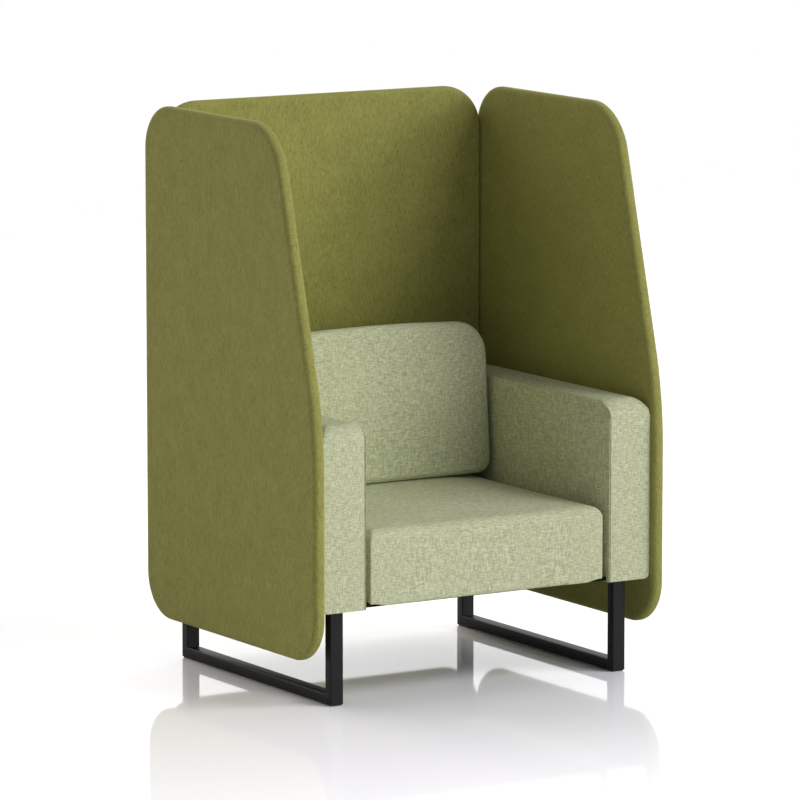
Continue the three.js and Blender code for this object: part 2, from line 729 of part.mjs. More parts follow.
const chair = new THREE.Group();
const seatCuts = [];
for (const [side, hand] of [["left", -1], ["right", 1]]) {
  const screenBolts = wingBolts(side, hand);
  const seatBolts = armBolts(side, hand);
  const bolts = [...screenBolts, ...seatBolts];
  const span = [hand * wingInner, hand * (wingInner + screenThickness)].sort((a, b) => a - b);
  const screenCuts = screenBolts.map(({ space }) => space);
  const armCuts = bolts.map(({ space }) => space);
  seatCuts.push(...seatBolts.map(({ space }) => space));
  chair.add(...sledPieces(side, hand));
  chair.add(...armPieces(side, hand, armCuts));
  chair.add(...screenPieces(`${side}_screen`, wingCorners(), span, alongX, screenCuts));
  chair.add(...bolts.map(({ mesh }) => mesh));
}
const rearBolts = backBolts();
const rearCuts = rearBolts.map(({ space }) => space);
chair.add(...seatPieces(seatCuts));
chair.add(...seatStrapPieces());
chair.add(...backPieces(rearCuts));
chair.add(...screenPieces("back_screen", backScreenCorners(), [backScreenFront, rear], alongY, rearCuts));
chair.add(...rearBolts.map(({ mesh }) => mesh));

export default chair;
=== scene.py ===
import json
import math

import bmesh
import bpy
import numpy as np
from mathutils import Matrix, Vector

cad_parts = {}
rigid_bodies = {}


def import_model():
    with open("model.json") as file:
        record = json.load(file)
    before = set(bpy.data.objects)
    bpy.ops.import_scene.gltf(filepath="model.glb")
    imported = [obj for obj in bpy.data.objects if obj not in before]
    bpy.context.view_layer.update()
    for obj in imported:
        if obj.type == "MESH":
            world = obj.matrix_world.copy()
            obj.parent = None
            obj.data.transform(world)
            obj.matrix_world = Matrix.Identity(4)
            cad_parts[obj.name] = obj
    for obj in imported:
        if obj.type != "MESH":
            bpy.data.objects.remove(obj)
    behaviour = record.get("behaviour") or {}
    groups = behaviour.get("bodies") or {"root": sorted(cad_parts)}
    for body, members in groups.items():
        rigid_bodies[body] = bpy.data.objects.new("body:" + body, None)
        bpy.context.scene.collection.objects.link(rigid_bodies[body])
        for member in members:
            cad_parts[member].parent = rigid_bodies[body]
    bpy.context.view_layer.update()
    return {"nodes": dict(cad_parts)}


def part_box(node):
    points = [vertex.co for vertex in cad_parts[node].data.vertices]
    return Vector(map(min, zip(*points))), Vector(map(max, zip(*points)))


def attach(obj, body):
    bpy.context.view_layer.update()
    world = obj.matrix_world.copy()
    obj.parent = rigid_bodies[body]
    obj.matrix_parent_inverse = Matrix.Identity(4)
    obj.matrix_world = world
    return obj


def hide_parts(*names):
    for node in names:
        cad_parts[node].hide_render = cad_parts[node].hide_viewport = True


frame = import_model()
mm = 0.001

# Camera: a long lens well in front of the chair and off to its left, which looks some nine degrees
# down at the chair's middle. Left and right are named as seen from there.
camera_azimuth = math.radians(-31.6)
camera_elevation = math.radians(8.6)
camera_distance = 13704 * mm
camera_target = Vector((-14.0, -6.5, 646.6)) * mm
towards_camera = Vector((
    math.sin(camera_azimuth) * math.cos(camera_elevation),
    -math.cos(camera_azimuth) * math.cos(camera_elevation),
    math.sin(camera_elevation),
))
camera_data = bpy.data.cameras.new("camera")
camera_data.lens = 257.8
camera_data.sensor_width = 36
camera_data.clip_end = 100
camera = bpy.data.objects.new("camera", camera_data)
camera.location = camera_target + towards_camera * camera_distance
camera.rotation_mode = "QUATERNION"
camera.rotation_quaternion = (-towards_camera).to_track_quat("-Z", "Y")
bpy.context.scene.collection.objects.link(camera)
bpy.context.scene.camera = camera
bpy.context.scene.view_settings.view_transform = "Standard"


# Sleds: one on each side, welded from 35 x 25 mm rectangular steel tube with mitred corners at the
# floor. Each leg ends in a 4 mm plate, held by a fillet weld and screwed up into the arm's frame.
sled_inner = 376.2 * mm
sled_outer = 411.2 * mm
sled_front = -344 * mm
sled_rear = 357 * mm
sled_low = 3 * mm
sled_high = 226 * mm
tube_depth = 25 * mm
tube_corner = 2.5 * mm
weld_leg = 4 * mm
plate_across = (357.7 * mm, 429.7 * mm)
plate_heights = (226.2 * mm, 230.2 * mm)
plate_depths = ((-363 * mm, -300 * mm), (313 * mm, 357 * mm))
plate_corner = 6 * mm
plate_edge = 0.6 * mm
corner_segments = 4
plate_segments = 6
edge_segments = 2
crease_angle = math.radians(30)


def add_block(name, low, high):
    bpy.ops.object.select_all(action="DESELECT")
    middle = [(a + b) / 2 for a, b in zip(low, high)]
    size = [b - a for a, b in zip(low, high)]
    bpy.ops.mesh.primitive_cube_add(size=1, location=middle, scale=size)
    bpy.ops.object.transform_apply(location=True, rotation=True, scale=True)
    block = bpy.context.object
    block.name = name
    block.data.name = name
    return block


def pick(kind, test):
    """In edit mode, selects only the vertices, edges or faces that pass the test."""
    mesh = bmesh.from_edit_mesh(bpy.context.edit_object.data)
    bpy.ops.mesh.select_mode(type=kind)
    bpy.ops.mesh.select_all(action="DESELECT")
    parts = {"VERT": mesh.verts, "EDGE": mesh.edges, "FACE": mesh.faces}[kind]
    for part in parts:
        if test(part):
            part.select_set(True)
    mesh.select_flush_mode()
    bmesh.update_edit_mesh(bpy.context.edit_object.data)


def runs_along(axis):
    """Whether an edge runs along the axis."""
    def test(edge):
        step = edge.verts[1].co - edge.verts[0].co
        return abs(step[axis]) > 0.9 * step.length
    return test


def borders(axis, side):
    """Whether an edge lies between a face that looks along the axis and one that does not."""
    def test(edge):
        facing = [face.normal[axis] * side > 0.99 for face in edge.link_faces]
        return any(facing) and not all(facing)
    return test


def bevel(reach, segments):
    bpy.ops.mesh.bevel(offset=reach, segments=segments, affect="EDGES", clamp_overlap=False)


def cut_across(axis, place):
    """In edit mode, cuts the whole mesh by a plane square to the axis."""
    point, normal = [0, 0, 0], [0, 0, 0]
    point[axis] = place
    normal[axis] = 1
    bpy.ops.mesh.select_all(action="SELECT")
    bpy.ops.mesh.bisect(plane_co=point, plane_no=normal)


def join(pieces):
    bpy.ops.object.select_all(action="DESELECT")
    for piece in pieces:
        piece.select_set(True)
    bpy.context.view_layer.objects.active = pieces[0]
    bpy.ops.object.join()
    return pieces[0]


def mirrored(piece, name):
    """A copy of a piece of the right side, turned into its left-hand fellow."""
    bpy.ops.object.select_all(action="DESELECT")
    piece.select_set(True)
    bpy.context.view_layer.objects.active = piece
    bpy.ops.object.duplicate(linked=False)
    copy = bpy.context.object
    copy.name = name
    copy.data.name = name
    bpy.ops.transform.resize(value=(-1, 1, 1), center_override=(0, 0, 0))
    bpy.ops.object.transform_apply(location=True, rotation=True, scale=True)
    bpy.ops.object.mode_set(mode="EDIT")
    bpy.ops.mesh.select_all(action="SELECT")
    bpy.ops.mesh.normals_make_consistent(inside=False)
    bpy.ops.object.mode_set(mode="OBJECT")
    return copy


sled = add_block(
    "right_sled_frame", (sled_inner, sled_front, sled_low), (sled_outer, sled_rear, sled_high),
)
window_front, window_rear = sled_front + tube_depth, sled_rear - tube_depth
window_low = sled_low + tube_depth
bpy.ops.object.mode_set(mode="EDIT")
for axis, place in ((1, window_front), (1, window_rear), (2, window_low)):
    cut_across(axis, place)
pick("FACE", lambda face: window_front < face.calc_center_median().y < window_rear
     and face.calc_center_median().z > window_low)
bpy.ops.mesh.delete(type="FACE")
pick("EDGE", lambda edge: edge.is_boundary and not runs_along(0)(edge))
bpy.ops.mesh.bridge_edge_loops()
pick("EDGE", lambda edge: borders(0, 1)(edge) or borders(0, -1)(edge))
bevel(tube_corner, corner_segments)
bpy.ops.object.mode_set(mode="OBJECT")

sled_parts = [sled]
for leg_depths, plate_depth in zip(
    ((sled_front, window_front), (window_rear, sled_rear)), plate_depths,
):
    weld = add_block(
        "weld",
        (sled_inner, leg_depths[0], sled_high - weld_leg),
        (sled_outer, leg_depths[1], sled_high),
    )
    bpy.ops.object.mode_set(mode="EDIT")
    pick("EDGE", runs_along(2))
    bevel(tube_corner, corner_segments)
    pick("FACE", lambda face: face.normal.z > 0.9)
    grown = [1 + 2 * weld_leg / (sled_outer - sled_inner), 1 + weld_leg / tube_depth, 1]
    inner_edge = leg_depths[1] if leg_depths[0] < 0 else leg_depths[0]
    outer_edge = leg_depths[0] + leg_depths[1] - inner_edge
    middle = ((sled_inner + sled_outer) / 2, outer_edge, sled_high)
    bpy.ops.transform.resize(value=grown, center_override=middle)
    bpy.ops.object.mode_set(mode="OBJECT")
    plate = add_block(
        "plate",
        (plate_across[0], plate_depth[0], plate_heights[0]),
        (plate_across[1], plate_depth[1], plate_heights[1]),
    )
    bpy.ops.object.mode_set(mode="EDIT")
    pick("EDGE", runs_along(2))
    bevel(plate_corner, plate_segments)
    pick("EDGE", lambda edge: borders(2, 1)(edge) or borders(2, -1)(edge))
    bevel(plate_edge, edge_segments)
    bpy.ops.object.mode_set(mode="OBJECT")
    sled_parts += [weld, plate]
sled = join(sled_parts)
bpy.ops.object.shade_smooth_by_angle(angle=crease_angle)
sleds = {"right": sled, "left": mirrored(sled, "left_sled_frame")}


def linear(value):
    """The linear colour of an sRGB hex value, with alpha."""
    shares = [int(value[i:i + 2], 16) / 255 for i in (1, 3, 5)]
    return [s / 12.92 if s <= 0.04045 else ((s + 0.055) / 1.055) ** 2.4 for s in shares] + [1]


def add_node(tree, kind, settings=(), **inputs):
    """Adds a node. Settings go by name, a ramp's colours as stops of (place, hex value), and
    inputs by name or, as i0, i1 and so on, by number: each is a value or a node's output."""
    made = tree.nodes.new(kind)
    for name, value in dict(settings).items():
        if name == "stops":
            marks = made.color_ramp.elements
            while len(marks) < len(value):
                marks.new(0.5)
            for mark, (place, colour) in zip(marks, value):
                mark.position = place
                mark.color = linear(colour)
        else:
            setattr(made, name, value)
    for name, value in inputs.items():
        numbered = name[0] == "i" and name[1:].isdigit()
        socket = made.inputs[int(name[1:]) if numbered else name.replace("_", " ")]
        if isinstance(value, bpy.types.NodeSocket):
            tree.links.new(value, socket)
        else:
            socket.default_value = value
    return made


def start_material(name):
    """A new material, its node tree, its shader and the object's own coordinates."""
    material = bpy.data.materials.new(name)
    material.use_nodes = True
    tree = material.node_tree
    place = add_node(tree, "ShaderNodeTexCoord").outputs["Object"]
    return material, tree, tree.nodes["Principled BSDF"], place


# Polyester powder coat, black, half gloss: the fine orange peel of a film that melted and set
# breaks up what it mirrors, so the flat faces look dark grey and the tops catch a pale streak
powder, tree, shader, place = start_material("black_powder_coat")
peel_size = 1.5 * mm
peel = add_node(tree, "ShaderNodeTexNoise", Vector=place, Scale=1 / peel_size, Detail=1.0)
black = add_node(
    tree, "ShaderNodeValToRGB", {"stops": [(0.3, "#0e0e0e"), (0.7, "#131313")]}, Fac=peel.outputs[0],
)
tree.links.new(black.outputs["Color"], shader.inputs["Base Color"])
shader.inputs["Roughness"].default_value = 0.38
shader.inputs["Specular IOR Level"].default_value = 0.24
orange_peel = add_node(
    tree, "ShaderNodeBump", Strength=0.15, Distance=0.1 * mm, Height=peel.outputs[0],
)
tree.links.new(orange_peel.outputs["Normal"], shader.inputs["Normal"])
for side, sled in sleds.items():
    sled.data.materials.append(powder)
    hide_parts(f"{side}_front_leg", f"{side}_rear_leg", f"{side}_floor_rail")
    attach(sled, "root")


# Plate screws: two M6 countersunk screws hold each plate, zinc plated steel with a hexagon socket,
# sunk flush into the plate beside the leg.
screw_radius = 6 * mm
screw_depth = 1.4 * mm
screw_proud = 0.1 * mm
screw_edge = 0.3 * mm
screw_side_inset = 9 * mm
screw_end_inset = 10 * mm
socket_radius = 2.3 * mm
socket_depth = 0.9 * mm
screw_places = [
    (x, y)
    for x in (plate_across[0] + screw_side_inset, plate_across[1] - screw_side_inset)
    for y in (plate_depths[0][1] - screw_end_inset, plate_depths[1][0] + screw_end_inset)
]
screws = []
for x, y in screw_places:
    bpy.ops.object.select_all(action="DESELECT")
    bpy.ops.mesh.primitive_cylinder_add(
        vertices=36, radius=screw_radius, depth=screw_depth,
        location=(x, y, plate_heights[0] - screw_proud + screw_depth / 2),
    )
    bpy.ops.object.transform_apply(location=True, rotation=True, scale=True)
    screw = bpy.context.object
    bpy.ops.object.mode_set(mode="EDIT")
    pick("EDGE", borders(2, -1))
    bevel(screw_edge, edge_segments)
    bpy.ops.object.mode_set(mode="OBJECT")
    bpy.ops.mesh.primitive_cylinder_add(
        vertices=6, radius=socket_radius, depth=2 * socket_depth,
        location=(x, y, plate_heights[0] - screw_proud),
    )
    bpy.ops.object.transform_apply(location=True, rotation=True, scale=True)
    key = bpy.context.object
    drive = screw.modifiers.new("socket", "BOOLEAN")
    drive.object = key
    drive.operation = "DIFFERENCE"
    bpy.context.view_layer.objects.active = screw
    bpy.ops.object.modifier_apply(modifier=drive.name)
    bpy.data.objects.remove(key)
    screws.append(screw)
right_screws = join(screws)
right_screws.name = "right_plate_screws"
bpy.ops.object.shade_smooth_by_angle(angle=crease_angle)
plate_screws = [right_screws, mirrored(right_screws, "left_plate_screws")]

# Zinc plated steel, blue passivated: a cool silver with a faint cloud in its brightness
zinc, tree, shader, place = start_material("zinc_plated_steel")
cloud_size = 4 * mm
cloud = add_node(tree, "ShaderNodeTexNoise", Vector=place, Scale=1 / cloud_size, Detail=2.0)
silver = add_node(
    tree, "ShaderNodeValToRGB", {"stops": [(0.3, "#b4b8bd"), (0.7, "#c9ccd0")]}, Fac=cloud.outputs[0],
)
tree.links.new(silver.outputs["Color"], shader.inputs["Base Color"])
dulled = add_node(
    tree, "ShaderNodeMapRange", Value=cloud.outputs[0], To_Min=0.28, To_Max=0.42,
)
tree.links.new(dulled.outputs[0], shader.inputs["Roughness"])
shader.inputs["Metallic"].default_value = 1.0
for screw in plate_screws:
    screw.data.materials.append(zinc)
    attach(screw, "root")


# The bolts and the glides come from the frame as they are: steel bolts through the arm and screen
# frames, and a moulded nylon pad pinned under each end of a floor rail, with eased edges.
glide_edge = 0.8 * mm


def finish_solid(name, material, edge=None):
    """Gives a solid of the frame its finish and, where it has them, its eased edges."""
    solid = bpy.data.objects[name]
    solid.data.materials.clear()
    solid.data.materials.append(material)
    if edge:
        weld = solid.modifiers.new("merged_points", "WELD")
        weld.merge_threshold = 0.01 * mm
        eased = solid.modifiers.new("eased_edges", "BEVEL")
        eased.width = edge
        eased.segments = edge_segments
        eased.limit_method = "ANGLE"
        eased.angle_limit = math.radians(40)


# Glass-filled nylon, moulded black: dull, with the fine grain of a spark-eroded mould
nylon, tree, shader, place = start_material("moulded_black_nylon")
grain_size = 0.8 * mm
grain = add_node(tree, "ShaderNodeTexNoise", Vector=place, Scale=1 / grain_size, Detail=2.0)
dark = add_node(
    tree, "ShaderNodeValToRGB", {"stops": [(0.35, "#151515"), (0.65, "#1e1e1e")]}, Fac=grain.outputs[0],
)
tree.links.new(dark.outputs["Color"], shader.inputs["Base Color"])
shader.inputs["Roughness"].default_value = 0.55
mould_grain = add_node(
    tree, "ShaderNodeBump", Strength=0.3, Distance=0.05 * mm, Height=grain.outputs[0],
)
tree.links.new(mould_grain.outputs["Normal"], shader.inputs["Normal"])

for name in frame["nodes"]:
    if name.endswith("_glide"):
        finish_solid(name, nylon, glide_edge)
    if name.endswith("_bolt"):
        finish_solid(name, zinc)


# Timber frames: rails and posts of planed pine in the arms, the seat and the back, glued and
# screwed. They are inside the upholstery, so only their eased edges and grain are given here.
timber_edge = 1.5 * mm
timber_ends = ("_arm_front_post", "_arm_rear_post", "_arm_top_rail", "_arm_bottom_rail")
timber_names = [name for name in frame["nodes"] if name.endswith(timber_ends)]
timber_names += [f"seat_{end}_rail" for end in ("front", "rear", "left", "right")]
timber_names += ["back_top_rail", "back_bottom_rail", "back_left_post", "back_right_post"]

# Pine, planed and left bare: straw yellow, with darker late wood in lines some 4 mm apart that
# run along the piece, so the grain is stretched along whichever way it lies
pine_finishes = {}
for axis, name in enumerate(("x", "y", "z")):
    pine, tree, shader, place = start_material(f"planed_pine_along_{name}")
    ring_sizes = [4 * mm] * 3
    ring_sizes[axis] = 160 * mm
    stretched = add_node(
        tree, "ShaderNodeMapping", Vector=place, Scale=[1 / size for size in ring_sizes],
    )
    rings = add_node(tree, "ShaderNodeTexNoise", Vector=stretched.outputs[0], Scale=1.0, Detail=3.0)
    straw = add_node(
        tree, "ShaderNodeValToRGB",
        {"stops": [(0.35, "#b98f5a"), (0.5, "#d3b07a"), (0.65, "#dcbd8a")]}, Fac=rings.outputs[0],
    )
    tree.links.new(straw.outputs["Color"], shader.inputs["Base Color"])
    shader.inputs["Roughness"].default_value = 0.6
    raised = add_node(
        tree, "ShaderNodeBump", Strength=0.3, Distance=0.2 * mm, Height=rings.outputs[0],
    )
    tree.links.new(raised.outputs["Normal"], shader.inputs["Normal"])
    pine_finishes[axis] = pine
for name in timber_names:
    low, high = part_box(name)
    spans = [b - a for a, b in zip(low, high)]
    finish_solid(name, pine_finishes[spans.index(max(spans))], timber_edge)


# Boards: each screen has a 24 mm core of birch plywood inside its felt, and the seat stands on a
# 9 mm black painted board whose ends show as a dark line beside the seat.
board_edge = 1.0 * mm

# Birch plywood: pale, with a slow flame of grain up the sheet
plywood, tree, shader, place = start_material("birch_plywood")
flame_sizes = (14 * mm, 14 * mm, 220 * mm)
stretched = add_node(
    tree, "ShaderNodeMapping", Vector=place, Scale=[1 / size for size in flame_sizes],
)
flame = add_node(tree, "ShaderNodeTexNoise", Vector=stretched.outputs[0], Scale=1.0, Detail=4.0)
birch = add_node(
    tree, "ShaderNodeValToRGB", {"stops": [(0.35, "#c8ab80"), (0.65, "#dcc49c")]},
    Fac=flame.outputs[0],
)
tree.links.new(birch.outputs["Color"], shader.inputs["Base Color"])
shader.inputs["Roughness"].default_value = 0.55
for name in ("left_screen_board", "right_screen_board", "back_screen_board"):
    finish_solid(name, plywood, board_edge)

# Matt black paint, rolled on: the roller's stipple is about 2 mm across
paint, tree, shader, place = start_material("rolled_black_paint")
stipple_size = 2 * mm
stipple = add_node(tree, "ShaderNodeTexNoise", Vector=place, Scale=1 / stipple_size, Detail=2.0)
soot = add_node(
    tree, "ShaderNodeValToRGB", {"stops": [(0.3, "#0c0c0b"), (0.7, "#121211")]},
    Fac=stipple.outputs[0],
)
tree.links.new(soot.outputs["Color"], shader.inputs["Base Color"])
shader.inputs["Roughness"].default_value = 0.7
shader.inputs["Specular IOR Level"].default_value = 0.1
rolled = add_node(tree, "ShaderNodeBump", Strength=0.3, Distance=0.1 * mm, Height=stipple.outputs[0])
tree.links.new(rolled.outputs["Normal"], shader.inputs["Normal"])
finish_solid("seat_base_board", paint, board_edge)


# Webbing: straps of rubberised polypropylene, woven over and under each other below the seat foam
# and run across the back. They keep their shape from the frame.

# Woven polypropylene: black, with the ribs of the weave slanting over the strap. They are drawn
# coarse, one in 31 mm of its length, since the diagonal wave repeats after 0.63 of its unit.
webbing, tree, shader, place = start_material("woven_black_webbing")
wave_unit = 50 * mm
ribs = add_node(
    tree, "ShaderNodeTexWave", {"bands_direction": "DIAGONAL"},
    Vector=place, Scale=1 / wave_unit, Distortion=0.5, Detail=1.0,
)
dyed = add_node(
    tree, "ShaderNodeValToRGB", {"stops": [(0.2, "#141416"), (0.8, "#26262a")]},
    Fac=ribs.outputs["Fac"],
)
tree.links.new(dyed.outputs["Color"], shader.inputs["Base Color"])
shader.inputs["Roughness"].default_value = 0.75
ribbed = add_node(tree, "ShaderNodeBump", Strength=0.5, Distance=0.4 * mm, Height=ribs.outputs["Fac"])
tree.links.new(ribbed.outputs["Normal"], shader.inputs["Normal"])
for name in frame["nodes"]:
    if "_strap_" in name:
        finish_solid(name, webbing)


# Arms: foam over a timber frame, in a wool weave. One strip runs up the front and over the top and
# is sewn to the inner panel in a plain seam, to which its top falls; the outer edge is rolled over
# at the top and turned under at the foot. The plates of the sled are let in.
arm_low = (337.7 * mm, -383 * mm, 227.6 * mm)
arm_high = (454.7 * mm, 369.7 * mm, 664 * mm)
arm_shoulder = 50 * mm
arm_hem = 20 * mm
arm_fall_reach = 32 * mm
arm_fall = 8 * mm
arm_margin = 3.5 * mm
arm_swell = 1 * mm
arm_voxel = 5.5 * mm
arm_easing = 1
shoulder_segments = 10
hem_segments = 4
seam_radius = 2.3 * mm
seam_setback = 2.8 * mm
seam_inset = 0.6 * mm
seam_turn = 43.4 * mm
plate_recess = 0.5 * mm
cloth_pressure = 4
cloth_frames = 20
evening_passes = 40
arm_smooth_angle = math.radians(40)


def points_of(items, name):
    values = np.empty(len(items) * 3, np.float32)
    items.foreach_get(name, values)
    return values.reshape(-1, 3)


def swell(piece, voxel, easing, reach, low, high):
    """Turns the block into even cloth with eased edges and lets the foam's pressure swell it. Only
    the outward part counts, evened out and held to the reach along each axis and to its space."""
    bpy.ops.object.select_all(action="DESELECT")
    piece.select_set(True)
    bpy.context.view_layer.objects.active = piece
    remesh = piece.modifiers.new("cloth_grid", "REMESH")
    remesh.mode = "VOXEL"
    remesh.voxel_size = voxel
    bpy.ops.object.modifier_apply(modifier=remesh.name)
    bpy.ops.object.mode_set(mode="EDIT")
    bpy.ops.mesh.select_all(action="SELECT")
    bpy.ops.mesh.vertices_smooth(factor=0.5, repeat=easing)
    bpy.ops.object.mode_set(mode="OBJECT")
    rest = points_of(piece.data.vertices, "co")
    outwards = points_of(piece.data.vertex_normals, "vector")
    cloth = piece.modifiers.new("foam_pressure", "CLOTH")
    cloth.settings.use_pressure = True
    cloth.settings.uniform_pressure_force = cloth_pressure
    cloth.settings.effector_weights.gravity = 0
    cloth.settings.quality = 3
    cloth.collision_settings.use_collision = False
    cloth.point_cache.frame_start = 1
    cloth.point_cache.frame_end = cloth_frames
    for number in range(cloth_frames):
        bpy.context.scene.frame_set(number + 1)
    bpy.ops.object.modifier_apply(modifier=cloth.name)
    bpy.context.scene.frame_set(1)
    swollen = points_of(piece.data.vertices, "co")
    rise = np.clip(((swollen - rest) * outwards).sum(axis=1), 0, None)
    ends = np.empty(len(piece.data.edges) * 2, np.int32)
    piece.data.edges.foreach_get("vertices", ends)
    one, other = ends.reshape(-1, 2).T
    neighbours = np.bincount(one, minlength=len(rise)) + np.bincount(other, minlength=len(rise))
    for _ in range(evening_passes):
        around = np.bincount(one, rise[other], len(rise)) + np.bincount(other, rise[one], len(rise))
        rise = around / neighbours
    held = np.abs(outwards) @ np.array(reach) * rise / rise.max()
    rest += outwards * held[:, None]
    piece.data.vertices.foreach_set("co", np.clip(rest, low, high).astype(np.float32).ravel())
    piece.data.update()
    finer = piece.modifiers.new("finer_cloth", "SUBSURF")
    finer.levels = 1
    finer.render_levels = 1
    bpy.ops.object.modifier_apply(modifier=finer.name)


def cut_out(piece, tool):
    """Cuts the tool's shape out of a piece and takes the tool away."""
    cut = piece.modifiers.new("cut_out", "BOOLEAN")
    cut.object = tool
    cut.operation = "DIFFERENCE"
    bpy.context.view_layer.objects.active = piece
    bpy.ops.object.modifier_apply(modifier=cut.name)
    bpy.data.objects.remove(tool)


def let_in(piece, low, high):
    """Cuts the space of a hard part out of an upholstered block."""
    cut_out(piece, add_block("space", low, high))


arm = add_block(
    "right_arm_upholstery",
    [place - arm_margin for place in arm_low],
    [place + arm_margin for place in arm_high],
)
bpy.ops.object.mode_set(mode="EDIT")
pick("EDGE", lambda edge: borders(2, 1)(edge) and (
    edge.verts[0].co.y + edge.verts[1].co.y < arm_low[1]
    or edge.verts[0].co.x + edge.verts[1].co.x > 2 * arm_high[0] - arm_shoulder))
bevel(arm_shoulder + arm_margin, shoulder_segments)
pick("EDGE", lambda edge: edge.calc_length() > 2 * arm_shoulder and runs_along(1)(edge)
     and edge.verts[0].co.x > arm_high[0] and edge.verts[0].co.z < arm_low[2])
bevel(arm_hem + arm_margin, hem_segments)
cut_across(0, arm_low[0] + arm_fall_reach)
bend_height = arm_high[2] - arm_shoulder
pick("VERT", lambda vert: vert.co.x < arm_low[0] and vert.co.z > bend_height)
bpy.ops.transform.resize(
    value=(1, 1, 1 - arm_fall / arm_shoulder), center_override=(0, 0, bend_height),
)
bpy.ops.object.mode_set(mode="OBJECT")
swell(arm, arm_voxel, arm_easing, (arm_swell,) * 3, arm_low, arm_high)

# The seam's groove is cut out by a round rod, which lies along the inner edge, up the front and
# back along the top. Its turn at the front corner is flattened as the top's is.
seam_x = arm_low[0] + seam_setback
turn_y = arm_low[1] + arm_shoulder
seam_path = [(seam_x, arm_low[1] + seam_inset, arm_low[2] - arm_margin)]
for turned in np.radians(np.linspace(0, 90, 13)):
    forwards = min((arm_shoulder + 2 * seam_inset) * math.cos(turned), arm_shoulder - seam_inset)
    upwards = seam_turn * math.sin(turned)
    seam_path.append((seam_x, turn_y - forwards, bend_height + upwards))
seam_path.append((seam_x, arm_high[1] + arm_margin, bend_height + seam_turn))
rod_data = bpy.data.curves.new("seam", "CURVE")
rod_data.dimensions = "3D"
rod_data.bevel_depth = seam_radius
rod_data.bevel_resolution = 2
rod_data.use_fill_caps = True
rod_line = rod_data.splines.new("POLY")
rod_line.points.add(len(seam_path) - 1)
for point, at in zip(rod_line.points, seam_path):
    point.co = (*at, 1)
rod = bpy.data.objects.new("seam", rod_data)
bpy.context.scene.collection.objects.link(rod)
bpy.ops.object.select_all(action="DESELECT")
rod.select_set(True)
bpy.context.view_layer.objects.active = rod
bpy.ops.object.convert(target="MESH")
cut_out(arm, rod)
for depths in plate_depths:
    let_in(
        arm,
        (plate_across[0] - plate_recess, depths[0] - plate_recess, plate_heights[0] - plate_recess),
        (plate_across[1] + plate_recess, depths[1] + plate_recess, plate_heights[1] + plate_recess),
    )
arm.select_set(True)
bpy.ops.object.shade_smooth_by_angle(angle=arm_smooth_angle)
arms = {"right": arm, "left": mirrored(arm, "left_arm_upholstery")}
for side, arm in arms.items():
    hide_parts(f"{side}_arm_cover", f"{side}_arm_padding")


# Seat: one upholstered block on a timber frame with woven webbing under the foam. The top is
# crowned and its edges rolled over; the front and the sides draw in between the corners. The
# black board is let in from below, and shows where the hem rises to the front corners.
seat_low = (-322.7 * mm, -378.5 * mm, 231.4 * mm)
seat_high = (322.7 * mm, 285.2 * mm, 424 * mm)
seat_crown = 11 * mm
seat_roll = 26 * mm
roll_segments = 6
seat_drawn_in = 3 * mm
seat_margin = 2 * mm
seat_voxel = 6 * mm
seat_easing = 1
hem_rise = 6 * mm
hem_reach = 40 * mm
hem_corner = 8 * mm
soft_smooth_angle = math.radians(70)
board_front = -372 * mm
board_top = 240.5 * mm
overrun = 10 * mm


def draw_in(axis, place, along, low, high, reach):
    """Pulls a side of the block in between its corners, most in the middle."""
    inwards = -1 if place > 0 else 1
    cuts = {low + (high - low) * share: 4 * share * (1 - share) for share in (0.2, 0.4, 0.6, 0.8)}
    for cut in cuts:
        cut_across(along, cut)
    for cut, slack in cuts.items():
        pick("VERT", lambda vert: abs(vert.co[axis] - place) < 0.1 * mm
             and abs(vert.co[along] - cut) < 0.1 * mm)
        shift = [0, 0, 0]
        shift[axis] = inwards * reach * slack
        bpy.ops.transform.translate(value=shift)


block_low = [place - seat_margin for place in seat_low]
block_high = [place + seat_margin for place in seat_high]
block_high[2] = seat_high[2] - seat_crown
seat = add_block("seat_upholstery", block_low, block_high)
bpy.ops.object.mode_set(mode="EDIT")
for axis, corner, along in ((1, block_low, 0), (0, block_low, 1), (0, block_high, 1)):
    draw_in(
        axis, corner[axis], along, block_low[along], block_high[along],
        seat_drawn_in + seat_margin,
    )
pick("EDGE", borders(2, 1))
bevel(seat_roll, roll_segments)
bpy.ops.object.mode_set(mode="OBJECT")
swell(seat, seat_voxel, seat_easing, (0, 0, seat_crown), seat_low, seat_high)
bpy.ops.object.mode_set(mode="EDIT")
for end in (seat_low[0], seat_high[0]):
    pick("VERT", lambda vert: abs(vert.co.x - end) < hem_corner
         and vert.co.y < seat_low[1] + hem_corner and vert.co.z < seat_low[2] + hem_corner / 2)
    bpy.ops.transform.translate(
        value=(0, 0, hem_rise), use_proportional_edit=True, proportional_size=hem_reach,
        proportional_edit_falloff="SMOOTH",
    )
bpy.ops.object.mode_set(mode="OBJECT")
let_in(
    seat,
    (seat_low[0] - overrun, board_front, seat_low[2] - overrun),
    (seat_high[0] + overrun, seat_high[1] + overrun, board_top),
)
seat.select_set(True)
bpy.ops.object.shade_smooth_by_angle(angle=soft_smooth_angle)
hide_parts("seat_cover", "seat_foam")


# Back: a foam block that leans on the back screen, thicker at its foot, in the same weave. Its top
# falls to the rear and bows up a little, its shoulders are cut round, and its front is crowned.
back_low = (-327.7 * mm, 111.7 * mm, 424.5 * mm)
back_high = (327.7 * mm, 369.7 * mm, 806 * mm)
back_shoulder_height = 797 * mm
back_lean = 29 * mm
back_crown = 9 * mm
back_bow = 12 * mm
back_fall = 42 * mm
back_shoulder = 76 * mm
back_shoulder_segments = 14
back_foot = 34 * mm
back_foot_segments = 8
back_roll = 20 * mm
back_voxel = 6 * mm
back_easing = 2

